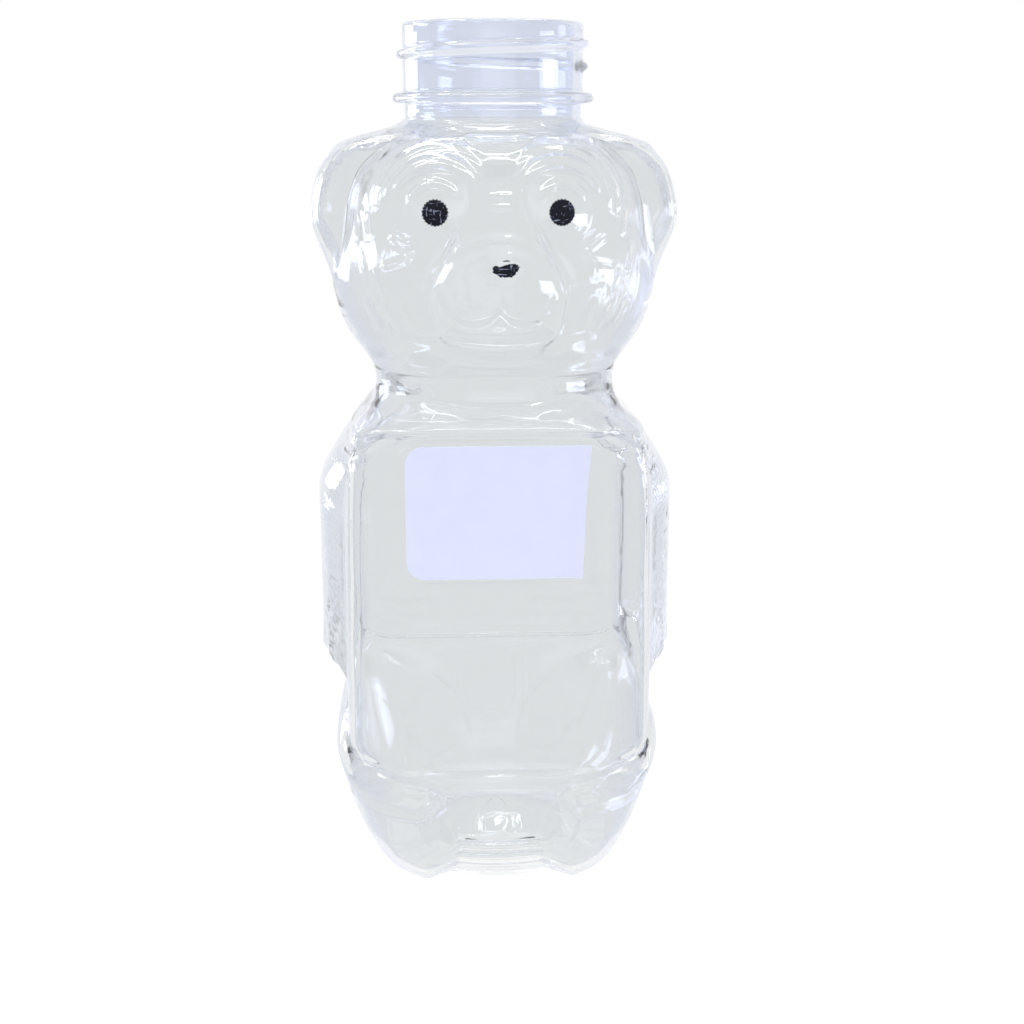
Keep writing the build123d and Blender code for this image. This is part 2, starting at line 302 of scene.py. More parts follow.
@dataclass(frozen=True)
class UncoatedPaper:
    """White uncoated label paper: a cool, matt white with a faint cloudy fibre."""

    light: str = "#E8ECFF"
    dark: str = "#E2E7FE"
    cloud: float = 4.0
    fibre: float = 0.5
    depth: float = 0.012

    def build(self) -> Material:
        """Make the material: two whites mixed by cloudy noise, with a fine bump of fibres."""
        material, tree, place = new_material("Label paper, uncoated white")
        cloud = add_node(tree, "TexNoise", {"Scale": 1 / (self.cloud * MM), "Detail": 5.0, "Vector": place})
        grain = add_node(tree, "TexNoise", {"Scale": 1 / (self.fibre * MM), "Detail": 3.0, "Vector": place})
        whites = {6: linear(self.dark), 7: linear(self.light)}
        colour = add_node(tree, "Mix", {"data_type": "RGBA", 0: cloud, **whites}).outputs[2]
        bump = add_node(tree, "Bump", {"Strength": 0.6, "Distance": self.depth * MM, "Height": grain})
        surface = {"Roughness": 0.82, "IOR": 1.5, "Specular IOR Level": 0.3}
        shader = add_node(tree, "BsdfPrincipled", {**surface, "Base Color": colour, "Normal": bump})
        add_node(tree, "OutputMaterial", {"Surface": shader})
        return material


@dataclass(frozen=True)
class LabelGlue:
    """A film of acrylic glue: it wets the bottle, so it looks a little milky and shines."""

    tint: str = "#E8E9EC"
    patch: float = 2.5
    rough: Pair = (0.3, 0.5)

    def build(self) -> Material:
        """Make the material: a pale film with a faint unevenness in its gloss."""
        material, tree, place = new_material("Acrylic glue film")
        patch = add_node(tree, "TexNoise", {"Scale": 1 / (self.patch * MM), "Detail": 2.0, "Vector": place})
        limits = {"To Min": self.rough[0], "To Max": self.rough[1]}
        gloss = add_node(tree, "MapRange", {**limits, "Value": patch})
        surface = {"Base Color": linear(self.tint), "IOR": 1.47, "Roughness": gloss}
        add_node(tree, "OutputMaterial", {"Surface": add_node(tree, "BsdfPrincipled", surface)})
        return material


@dataclass(frozen=True)
class PadInk:
    """Black pad-printing ink: blue-black and satin, with fine bare streaks where it skipped."""

    ink: str = "#080918"
    skipped: str = "#8E94AC"
    streak: float = 0.34
    # scale along a streak as a share of the scale across it, for the streaks across and down
    across: float = 0.14
    down: float = 0.2
    cover: float = 0.60
    edge: float = 0.07
    fewer_down: float = 0.04

    def build(self) -> Material:
        """Make the material: ink with pale streaks across and a few down, from stretched noise."""
        material, tree, place = new_material("Pad-printing ink, black")
        size = 1 / (self.streak * MM)
        short = size * self.across
        across = add_node(tree, "Mapping", {"Scale": (short, short, size), "Vector": place})
        down = add_node(tree, "Mapping", {"Scale": (size, size, size * self.down), "Vector": place})
        first = add_node(tree, "TexNoise", {"Scale": 1.0, "Detail": 3.0, "Vector": across})
        second = add_node(tree, "TexNoise", {"Scale": 0.8, "Detail": 2.0, "Vector": down})
        less = add_node(tree, "Math", {"operation": "SUBTRACT", 0: second, 1: self.fewer_down})
        most = add_node(tree, "Math", {"operation": "MAXIMUM", 0: first, 1: less})
        limits = {"From Min": self.cover, "From Max": self.cover + self.edge}
        bare = add_node(tree, "MapRange", {**limits, "Value": most})
        inks = {6: linear(self.ink), 7: linear(self.skipped)}
        colour = add_node(tree, "Mix", {"data_type": "RGBA", 0: bare, **inks}).outputs[2]
        surface = {"Roughness": 0.5, "IOR": 1.45, "Specular IOR Level": 0.2, "Base Color": colour}
        add_node(tree, "OutputMaterial", {"Surface": add_node(tree, "BsdfPrincipled", surface)})
        return material


@dataclass(frozen=True)
class Outline:
    """The plain outline of body and head, before ears, face, arms and legs are raised on it."""

    waist: float = 99.8
    head: float = 51.4
    neck_radius: float = 17.2
    body_size: Triple = (30.4, 30.6, 32.9)
    head_size: Triple = (32.3, 29.2, 30.0)
    # height, width, front and back as shares of the sizes above, then squareness
    body: tuple = (
        (0.000, 0.715, 0.830, 0.790, 2.2),
        (0.012, 0.765, 0.850, 0.850, 2.2),
        (0.035, 0.820, 0.870, 0.905, 2.2),
        (0.075, 0.885, 0.885, 0.950, 2.3),
        (0.150, 0.960, 0.905, 0.990, 2.5),
        (0.205, 0.985, 0.950, 0.998, 2.9),
        (0.240, 0.988, 1.000, 1.000, 3.4),
        (0.265, 0.992, 1.000, 1.000, 5.0),
        (0.290, 1.000, 1.000, 1.000, 8.5),
        (0.340, 1.000, 1.000, 1.000, 11.0),
        (0.780, 0.995, 1.000, 1.000, 11.0),
        (0.860, 0.965, 1.000, 0.985, 9.0),
        (0.915, 0.920, 1.000, 0.935, 7.0),
        (0.945, 0.862, 0.970, 0.880, 4.4),
        (0.975, 0.808, 0.870, 0.832, 2.8),
        (1.000, 0.791, 0.795, 0.795, 2.3),
    )
    crown: tuple = (
        (0.065, 0.758, 0.830, 0.830, 2.15),
        (0.140, 0.835, 0.900, 0.900, 2.10),
        (0.220, 0.920, 0.950, 0.950, 2.15),
        (0.320, 0.975, 0.980, 0.980, 2.20),
        (0.430, 1.000, 1.000, 1.000, 2.25),
        (0.580, 0.950, 0.985, 0.985, 2.30),
        (0.700, 0.935, 0.965, 0.965, 2.25),
        (0.800, 0.890, 0.920, 0.920, 2.20),
        (0.880, 0.790, 0.840, 0.840, 2.15),
        (0.935, 0.690, 0.735, 0.735, 2.10),
        (0.975, 0.590, 0.640, 0.640, 2.00),
    )

    def at(self, heights: Grid) -> Grid:
        """Half width, front depth, back depth and squareness at each height."""
        low = np.array(self.body) * [self.waist, *self.body_size, 1.0]
        high = np.array(self.crown) * [self.head, *self.head_size, 1.0] + [self.waist, 0, 0, 0, 0]
        seat = np.array([[self.waist + self.head, *[self.neck_radius] * 3, 2.0]])
        return through(np.vstack([low, high, seat]), heights)


@dataclass(frozen=True)
class Ears:
    """Flat round ears on the sides of the head, with a rolled rim around a shallow hollow."""

    reach: float = 6.4
    up_span: Span = (120.0, 14.0, 150.2, 3.8)
    back_span: Span = (-12.6, 4.0, 13.0, 7.0)
    # how much lower an ear is at a distance from its fullest place, and that distance and place
    fall_off: Triple = (0.26, 12.0, 1.0)
    middle: float = 136.5
    rim_size: Pair = (12.0, 9.0)
    rim_width: float = 1.7
    rim_height: float = 0.55
    hollow: float = 0.7
    hollow_share: float = 0.9
    hollow_fade: float = 6.0

    def swell(self, z: Grid, y: Grid) -> Grid:
        """A plateau from bottom to top and from front to back, times its reach with rim and hollow."""
        share, distance, fullest = self.fall_off
        plateau = span(z, *self.up_span) * span(y, *self.back_span)
        plateau = plateau * (1 - share * ((y - fullest) / distance) ** 2)
        half_height, half_depth = self.rim_size
        ring = np.hypot((z - self.middle) / half_height, y / half_depth)
        rim = self.rim_height * ridge((ring - 1.0) * half_depth, self.rim_width)
        hollow = self.hollow * hill(ring / self.hollow_share)
        hollow = hollow * smooth((self.up_span[2] - z) / self.hollow_fade)
        return (self.reach + rim - hollow) * plateau


@dataclass(frozen=True)
class Face:
    """Muzzle, bridge, eyes in ringed sockets, wrinkles, mouth line and cheeks with tufts of fur."""

    muzzle_bottom: float = 109.5
    muzzle_height: float = 31.5
    muzzle_size: Pair = (12.8, 4.6)
    # height, half width and reach of the muzzle as shares
    muzzle_table: tuple = (
        (0.000, 0.47, 0.00),
        (0.063, 0.72, 0.24),
        (0.143, 0.91, 0.66),
        (0.286, 1.00, 0.96),
        (0.429, 0.93, 1.00),
        (0.603, 0.72, 0.82),
        (0.762, 0.52, 0.52),
        (0.889, 0.36, 0.24),
        (1.000, 0.27, 0.00),
    )
    # the crease along the muzzle: depth, and how much deeper it is beside the nose, where and how far
    crease: tuple = (0.28, 0.55, 128.5, 3.2)
    crease_span: Span = (112.0, 3.0, 136.0, 4.0)
    nose_middle: Pair = (0.0, 125.6)
    nose_size: Pair = (4.2, 2.9)
    nose_reach: float = 0.8
    # wrinkles: height in the middle, how high they stand, width, half length, and how they arch
    wrinkles: tuple = (
        (128.1, 0.56, 0.6, 8.0, 0.055),
        (130.8, 0.56, 0.6, 8.0, 0.055),
        (136.2, 0.36, 0.5, 4.5, 0.0),
        (138.0, 0.36, 0.5, 4.5, 0.0),
    )
    # the mouth line's two arcs: middle, then half width and drop
    mouth_middle: Pair = (4.4, 120.6)
    mouth_size: Pair = (4.6, 4.4)
    # depth and width of the line and of the parting over it, and height, width and place of the lip
    line: Pair = (0.24, 0.62)
    parting: Pair = (0.16, 0.6)
    parting_span: Span = (118.2, 0.8, 124.0, 1.0)
    lip: Triple = (0.14, 0.8, 1.32)
    eye_x: float = 11.5
    eye_z: float = 135.0
    eyeball: Pair = (6.2, 1.25)
    # the groove around an eyeball: radius, depth and width
    socket: Triple = (6.4, 0.25, 0.9)
    # rings over an eye: radius, height, inner shift of the middle, how far down outside and inside
    rings: tuple = (
        (5.1, 0.62, 0.0, 0.35, 0.35),
        (8.5, 0.60, 0.5, 0.30, -0.35),
        (10.6, 0.50, 1.0, 0.00, 0.25),
        (12.9, 0.40, 1.4, 0.05, 0.55),
    )
    ring_width: float = 0.72
    cheek_middle: Pair = (19.0, 122.0)
    cheek_size: Pair = (9.0, 9.5)
    cheek_reach: float = 0.9
    # the crease under a cheek: lowest height, where that is, and how it bends up
    jaw: Triple = (112.6, 12.0, 0.022)
    jaw_span: Span = (8.0, 4.0, 25.0, 4.0)
    # fur tufts on a cheek: start and end as x and z
    tufts: tuple = (
        ((19.5, 130.1), (16.1, 127.8)),
        ((16.1, 127.8), (16.6, 126.4)),
        ((16.6, 126.4), (20.4, 125.2)),
        ((18.6, 131.2), (16.3, 130.0)),
        ((18.2, 122.4), (12.8, 120.6)),
        ((22.5, 124.0), (20.6, 119.8)),
        ((20.8, 117.5), (18.6, 113.6)),
        ((17.2, 118.4), (16.0, 114.2)),
        ((24.4, 118.0), (22.4, 113.8)),
        ((25.8, 128.0), (24.6, 123.6)),
        ((13.6, 132.0), (10.6, 131.6)),
        ((24.6, 134.5), (24.0, 130.5)),
        ((22.3, 138.4), (23.0, 135.4)),
    )
    tuft_width: float = 0.55
    tuft_height: float = 0.36

    def muzzle(self, z: Grid, x: Grid) -> Grid:
        """A pear-shaped swelling, (1 - u^2.4)^1.15 across, with a crease along its sides."""
        table = np.array(self.muzzle_table) * [self.muzzle_height, *self.muzzle_size]
        half, reach = np.moveaxis(through(table + [self.muzzle_bottom, 0, 0], z), -1, 0)
        u = np.clip(np.abs(x) / half, 0, 1)
        plain, deeper, height, spread = self.crease
        depth = plain + deeper * ridge(z - height, spread)
        crease = depth * ridge(np.abs(x) - half - 0.2, 0.6) * span(z, *self.crease_span)
        return reach * (1 - u**2.4) ** 1.15 - crease

    def nose(self, z: Grid, x: Grid) -> Grid:
        """The nose ball, two wrinkles that arch over it, and two short ones between the eyes."""
        total = self.nose_reach * mound(x, z, self.nose_middle, self.nose_size)
        for middle, height, width, half, arch in self.wrinkles:
            total = total + height * ridge(z + arch * x * x - middle, width) * hill(x / half)
        return total

    def mouth(self, z: Grid, x: Grid) -> Grid:
        """A flat w: two grooves in arcs that hang from their meeting under the nose, and a lip below."""
        (middle, top), (half, drop) = self.mouth_middle, self.mouth_size
        arc = np.hypot((np.abs(x) - middle) / half, (z - top) / drop)
        low = smooth((top + 0.2 - z) / 1.2)
        height, width, place = self.lip
        groove = ridge((arc - 1.0) * 4.5, self.line[1]) * low
        parting = ridge(x, self.parting[1]) * span(z, *self.parting_span)
        lip = ridge((arc - place) * 4.5, width) * low
        return -self.line[0] * groove - self.parting[0] * parting + height * lip

    def eyes(self, z: Grid, x: Grid) -> Grid:
        """Eyeballs as low domes with a groove around each, and rings of ridges over them."""
        side = np.abs(x)
        dz = z - self.eye_z
        away = np.hypot(side - self.eye_x, dz)
        ball, stands = self.eyeball
        radius, depth, width = self.socket
        total = stands * hill(away / ball) - depth * ridge(away - radius, width)
        apart = smooth((side - 1.6) / 3.0)
        for radius, height, shift, outer, inner in self.rings:
            dx = side - self.eye_x + shift
            reach = np.hypot(dx, dz)
            up = dz / np.maximum(reach, 0.1)
            least = np.where(dx > 0, outer, inner)
            bell = height * ridge(reach - radius, self.ring_width)
            total = total + apart * bell * smooth((up - least) / 0.3)
        return total

    def cheeks(self, z: Grid, x: Grid) -> Grid:
        """Full cheeks beside the muzzle, with a crease under them and tufts of fur."""
        side = np.abs(x)
        full = self.cheek_reach * mound(side, z, self.cheek_middle, self.cheek_size)
        lowest, place, bend = self.jaw
        crease = 0.16 * ridge(z - lowest - bend * (side - place) ** 2, 0.8) * span(side, *self.jaw_span)
        fur = sum(stroke(side, z, start, end, self.tuft_width) for start, end in self.tufts)
        return full - crease + self.tuft_height * fur

    def swell(self, z: Grid, x: Grid) -> Grid:
        """All that stands out of, or is cut into, the front of the head."""
        forms = (self.muzzle, self.nose, self.mouth, self.eyes, self.cheeks)
        return sum(form(z, x) for form in forms)


@dataclass(frozen=True)
class Arms:
    """Arms that hang down the sides to blunt paws."""

    reach: float = 5.9
    up_span: Span = (40.5, 5.0, 96.5, 18.0)
    half_thickness: float = 24.0
    forward: float = 1.0
    tuck: float = 0.35
    # fingers: how high they stand, their middle's height, half length and spacing
    fingers: tuple = (0.35, 46.0, 5.0, 7.0)
    fur_span: Span = (47.0, 8.0, 90.0, 6.0)

    def across(self, y: Grid) -> Grid:
        """Place from front to back as a share, -1 to 1."""
        return np.clip((y + self.forward) / self.half_thickness, -1, 1)

    def swell(self, z: Grid, y: Grid) -> Grid:
        """Rise between paw and shoulder, times a hill (1 - |t|^2.5)^1.6 from front to back."""
        height, middle, half, spacing = self.fingers
        fingers = height * hill((z - middle) / half) * np.cos(2 * math.pi * y / spacing)
        tuck = self.tuck * ridge(z - self.up_span[0] - 0.5, 1.3)
        rise = span(z, *self.up_span)
        return ((self.reach + fingers) * rise - tuck) * (1 - np.abs(self.across(y)) ** 2.5) ** 1.6

    def fur(self, z: Grid, y: Grid) -> Grid:
        """Where the arms carry fur lines, 0 to 1."""
        return span(z, *self.fur_span) * (1 - self.across(y) ** 4)


@dataclass(frozen=True)
class Legs:
    """Thighs at the sides that run forwards and down into two feet."""

    thigh_reach: float = 3.4
    foot_reach: float = 5.8
    thigh_top: float = 35.6
    foot_top: float = 22.5
    blend: float = 4.0
    thigh_blend: float = 8.0
    sole_blend: float = 4.0
    gap: float = 7.6
    gap_blend: float = 3.4
    # degrees ahead of the side where the leg starts to turn forwards, and how far that takes
    turn: Pair = (12.0, 40.0)
    # the same for where it starts at the back
    back_end: Pair = (-62.0, 24.0)
    # how the gap widens upwards and downwards: by how much to a millimetre, and from which height
    widens: tuple[Pair, Pair] = ((0.3, 8.0), (0.45, 4.5))
    toe_height: float = 0.35
    toe_span: Span = (1.0, 2.0, 20.5, 3.0)
    fold: float = 0.25
    bead_strength: float = 0.25
    # degrees ahead of the side where the seam has its beads
    bead_span: Span = (8.0, 12.0, 78.0, 12.0)
    rib_levels: Triple = (4.1, 6.7, 9.4)
    rib_height: float = 0.9
    rib_half: float = 9.0

    def seam(self, x: Grid, y: Grid) -> tuple[Grid, Grid, Grid]:
        """The thigh's upper edge, which falls as it turns from the side to the front.

        Args:
            x: places across the bottle.
            y: places from front to back.

        Returns:
            The degrees ahead of the side, the share of the turn to the foot, and the edge's height.
        """
        ahead = np.degrees(np.arctan2(-y, np.abs(x)))
        turn = smooth((ahead - self.turn[0]) / self.turn[1])
        return ahead, turn, self.thigh_top + (self.foot_top - self.thigh_top) * turn

    def swell(self, z: Grid, x: Grid, y: Grid) -> Grid:
        """A band under the seam, which ends at a gap between the feet that widens with height."""
        ahead, turn, top = self.seam(x, y)
        reach = self.thigh_reach + (self.foot_reach - self.thigh_reach) * turn
        (up, high), (down, low) = self.widens
        gap = self.gap + up * np.clip(z - high, 0, None) + down * np.clip(low - z, 0, None)
        blend = self.thigh_blend + (self.blend - self.thigh_blend) * turn
        rise = smooth((top - z) / blend) * smooth((z + 0.8 * self.sole_blend) / self.sole_blend)
        rise = rise * smooth((ahead - self.back_end[0]) / self.back_end[1])
        front = np.where(y < 0, smooth((np.abs(x) - gap) / self.gap_blend), 1.0)
        fold = self.fold * ridge(z - top + 5.5, 1.3) * smooth((ahead + 30) / 20) * front
        toe = self.toe_height * ridge(np.abs(x) - gap - 2.4, 0.6) * span(z, *self.toe_span)
        return reach * rise * front - fold + toe * smooth(-y / 4.0)

    def beads(self, z: Grid, x: Grid, y: Grid) -> Grid:
        """Where the thigh's upper edge carries a beaded seam, 0 to 1."""
        ahead, _, top = self.seam(x, y)
        return self.bead_strength * ridge(z - top + 3.0, 2.2) * span(ahead, *self.bead_span)

    def steps(self, z: Grid, x: Grid, y: Grid) -> Grid:
        """Three low level ribs in the gap between the feet."""
        ribs = sum(ridge(z - level, 0.48) for level in self.rib_levels)
        return np.where(y < 0, self.rib_height * ribs * smooth((self.rib_half - np.abs(x)) / 1.2), 0.0)


@dataclass(frozen=True)
class Panel:
    """A flat, sunk label panel with round corners and a raised border, on the front and on the back."""

    half_width: float = 27.9
    back_half_width: float = 29.6
    taper: float = 0.025
    bottom: float = 25.3
    back_bottom: float = 31.5
    top: float = 94.4
    bottom_corner: float = 6.8
    top_corner: float = 3.2
    recess: float = 1.4
    slope: float = 0.6
    back_slope: float = 1.6
    border: float = 0.34
    back_border: float = 0.08
    back_sill: float = 0.95
    border_width: float = 0.5
    back_border_width: float = 0.85
    # the front is kept wide and square from here up to a little over the panel's top
    hold_start: float = 70.0
    hold_square: float = 11.0

    def distance(self, x: Grid, z: Grid, front: Grid) -> Grid:
        """Distance outside (positive) or inside (negative) the panel's rounded rectangle."""
        bottom = np.where(front, self.bottom, self.back_bottom)
        across = np.where(front, self.half_width, self.back_half_width)
        middle, half = (self.top + bottom) / 2, (self.top - bottom) / 2
        corner = np.where(z > middle, self.top_corner, self.bottom_corner)
        dx = np.abs(x) - (across + self.taper * (middle - z) - corner)
        dz = np.abs(z - middle) - (half - corner)
        outside = np.hypot(np.clip(dx, 0, None), np.clip(dz, 0, None))
        return outside + np.minimum(np.maximum(dx, dz), 0.0) - corner

    def hold(self, z: Grid, angle: Grid) -> Grid:
        """Where the front keeps its full width and square corners up to the panel's top, 0 to 1."""
        return span(z, self.hold_start, 15.0, self.top + 1.9, 2.4) * smooth((-np.sin(angle) - 0.3) / 0.3)

    def press(self, radius: Grid, z: Grid, angle: Grid, depth: Grid) -> Grid:
        """Flatten the front and back onto the panel planes, and raise a border, a bell, around them.

        Args:
            radius: distances of the outside from the axis.
            z: heights.
            angle: angles from +X in radians.
            depth: distance of the panel's plane from the axis, at the front or the back.

        Returns:
            The distances with the panels pressed in.
        """
        front = np.sin(angle) < 0
        away = self.distance(radius * np.cos(angle), z, front)
        plane = depth / np.maximum(np.abs(np.sin(angle)), 0.2)
        inside = smooth(-away / np.where(front, self.slope, self.back_slope) + 0.5)
        flat = radius - inside * np.clip(radius - plane, 0, None)
        near = np.abs(np.sin(angle)) > 0.45
        sill = self.back_border + self.back_sill * smooth((self.back_bottom + 4.0 - z) / 3.0)
        width = np.where(front, self.border_width, self.back_border_width)
        return flat + np.where(near, np.where(front, self.border, sill) * ridge(away - 0.6, width), 0.0)


@dataclass(frozen=True)
class BearForm:
    """The outside of the blown bottle: distance from the axis by height and angle."""

    outline: Outline = field(default_factory=Outline)
    ears: Ears = field(default_factory=Ears)
    face: Face = field(default_factory=Face)
    arms: Arms = field(default_factory=Arms)
    legs: Legs = field(default_factory=Legs)
    panel: Panel = field(default_factory=Panel)
    face_span: Span = (104.0, 4.0, 150.5, 3.0)
    # two tufts of fur on each shoulder, as corners with x and z, from the outside in and back over
    shoulder_tufts: tuple = (
        ((24.3, 95.2), (13.4, 96.2), (11.2, 97.5), (15.3, 98.8)),
        ((19.0, 94.9), (9.5, 95.7), (6.6, 96.3), (7.8, 97.5), (11.2, 98.8)),
    )
    tuft_width: float = 0.6
    tuft_height: float = 0.34
    fold_span: Span = (94.5, 2.0, 104.0, 2.5)
    # folds beside the shoulder tufts: how high they stand, the first one's height, and their spacing
    folds: Triple = (0.28, 95.0, 3.1)
    # places where upright fur lines show: strength, middle, half width and half height
    cheek_fur: tuple = (1.4, (19.0, 119.5), (10.0, 13.0))
    chin_fur: tuple = (0.8, (0.8, 117.0), (9.5, 4.5))

    def radius(self, z: Grid, angle: Grid) -> Grid:
        """Distance from the axis to the outside.

        The plain outline is a superellipse, ((|cos|/a)^n + (|sin|/b)^n)^(-1/n), and the
        features are added along it. All arrays have the same shape.

        Args:
            z: heights in millimetres.
            angle: angles from +X in radians.

        Returns:
            Distances from the axis in millimetres.
        """
        panel, sizes = self.panel, self.outline.body_size
        width, front, back, square = np.moveaxis(self.outline.at(z), -1, 0)
        hold = panel.hold(z, angle)
        width = width + hold * np.clip(panel.half_width + 0.2 - width, 0, None)
        square = square + hold * np.clip(panel.hold_square - square, 0, None)
        depth = np.where(np.sin(angle) < 0, front, back)
        across, along = np.abs(np.cos(angle)), np.abs(np.sin(angle))
        radius = ((across / width) ** square + (along / depth) ** square) ** (-1 / square)
        x, y = radius * np.cos(angle), radius * np.sin(angle)
        radius = panel.press(radius, z, angle, np.where(y < 0, sizes[1], sizes[2]) - panel.recess)
        radius = radius + self.face.swell(z, x) * smooth(-y / 6.0) * span(z, *self.face_span)
        radius = radius + self.ears.swell(z, y) + self.arms.swell(z, y)
        return radius + self.legs.swell(z, x, y) + self.legs.steps(z, x, y) + self.shoulder_folds(z, x, y)

    def shoulder_folds(self, z: Grid, x: Grid, y: Grid) -> Grid:
        """Soft folds of fur at the sides of the shoulders, and two hooked tufts in front of them."""
        height, first, spacing = self.folds
        sweep = z + 0.012 * x * x
        where = smooth((np.abs(x) - 14.0) / 6.0) * span(sweep, *self.fold_span)
        folds = height * np.cos(2 * math.pi * (sweep - first) / spacing) * where
        sides = [pair for tuft in self.shoulder_tufts for pair in zip(tuft[:-1], tuft[1:])]
        tufts = np.max([stroke(np.abs(x), z, *pair, self.tuft_width) for pair in sides], axis=0)
        return (folds + self.tuft_height * tufts) * smooth((-y - 4.0) / 6.0)

    def masks(self, z: Grid, angle: Grid) -> dict[str, Grid]:
        """Where the finish shows its lines, 0 to 1.

        Args:
            z: heights in millimetres.
            angle: angles from +X in radians.

        Returns:
            Upright fur lines on the cheeks and the chin, and level ripples on the arms and
            the thighs' upper edges, by the names that the finish reads.
        """
        radius = self.radius(z, angle)
        x, y = radius * np.cos(angle), radius * np.sin(angle)
        cheek = self.cheek_fur[0] * mound(np.abs(x), z, *self.cheek_fur[1:])
        chin = self.chin_fur[0] * mound(x, z, *self.chin_fur[1:])
        ruffle = self.arms.fur(z, y) + self.legs.beads(z, x, y)
        return {"fur": np.clip((cheek + chin) * smooth(-y / 5), 0, 1), "ruffle": np.clip(ruffle, 0, 1)}

    def front_angle(self, x: Grid, z: Grid) -> Grid:
        """Angle of the front point that lies at x, found by repeating sin = x / radius."""
        angle = np.full_like(x, -math.pi / 2)
        for _ in range(12):
            angle = -math.pi / 2 + np.arcsin(np.clip(x / self.radius(z, angle), -0.99, 0.99))
        return angle


@dataclass(frozen=True)
class NeckForm:
    """The unblown neck: collar, transfer bead, one-start thread and sealing rim."""

    seat: float = 151.2
    rim: float = 169.0
    bore: float = 15.6
    collar: float = 17.2
    root: float = 17.5
    crest: float = 18.65
    crest_half: float = 0.30
    flank: float = 0.95
    bead: float = 19.6
    bead_low: float = 154.0
    bead_high: float = 156.0
    rounding: float = 0.9
    pitch: float = 4.23
    start: float = -22.0
    turns: float = 1.12
    start_height: float = 160.7
    run_out: float = 28.0
    # rows of the collar, start, end and step of the rows over the thread, and rows of the bore
    collar_rows: tuple = (151.9, 152.7, 153.5)
    thread_rows: Triple = (156.6, 167.9, 0.33)
    bore_rows: tuple = (168.5, 166.0, 162.0, 158.0, 154.5, 152.6)

    def thread(self, z: Grid, angle: Grid) -> Grid:
        """Height of the thread: a rounded trapezoid along a helix that fades at its two ends."""
        total = np.zeros_like(z)
        first = np.mod(np.degrees(angle) - self.start, 360.0)
        for lap in (0, 1):
            turned = first + 360.0 * lap
            run = np.minimum(turned, 360.0 * self.turns - turned) / self.run_out
            across = np.abs(z - self.start_height - self.pitch * turned / 360.0)
            shape = 1 - smooth((across - self.crest_half) / self.flank)
            total = np.maximum(total, (self.crest - self.root) * shape * smooth(run))
        return total

    def bend(self, z: float, radius: float, rise: float, start: float, count: int) -> list[Pair]:
        """Rows (z + rise sin a, radius + rounding cos a) from a start in degrees up to 90."""
        turn = np.radians(np.linspace(start, 90, count))
        return [(z + rise * math.sin(a), radius + self.rounding * math.cos(a)) for a in turn]

    @staticmethod
    def turned(rows: list[Pair], angles: Grid) -> tuple[Grid, Grid]:
        """Heights and radii of a profile at every angle, rows by columns."""
        z, radius = np.repeat(np.array(rows)[:, :, None], len(angles), axis=2).swapaxes(0, 1)
        return z, radius

    def outer(self, angles: Grid) -> tuple[Grid, Grid]:
        """Heights and radii of the outside, row by row from above the seat to the rim's top."""
        low, high, edge = self.bead_low, self.bead_high, self.rounding
        rows = [(z, self.collar) for z in self.collar_rows]
        rows += [(low - 0.15, self.collar + 0.12), (low, self.collar + 0.5)]
        rows += self.bend((low + high) / 2, self.bead - edge, 0.98, -90, 9)
        rows += [(high, self.root + 0.4), (high + 0.2, self.root + 0.06)]
        rows += [(z, self.root) for z in np.arange(*self.thread_rows)]
        rows += self.bend(self.rim - edge, self.root - edge, edge, 0, 7)
        z, radius = self.turned(rows, angles)
        return z, radius + self.thread(z, np.broadcast_to(angles, z.shape))

    def inner(self, angles: Grid) -> tuple[Grid, Grid]:
        """Heights and radii of the mouth's chamfer and the bore, from the rim down to the seat."""
        rows = [(self.rim, self.bore + 0.5), (self.rim - 0.15, self.bore + 0.18)]
        return self.turned(rows + [(z, self.bore) for z in self.bore_rows], angles)


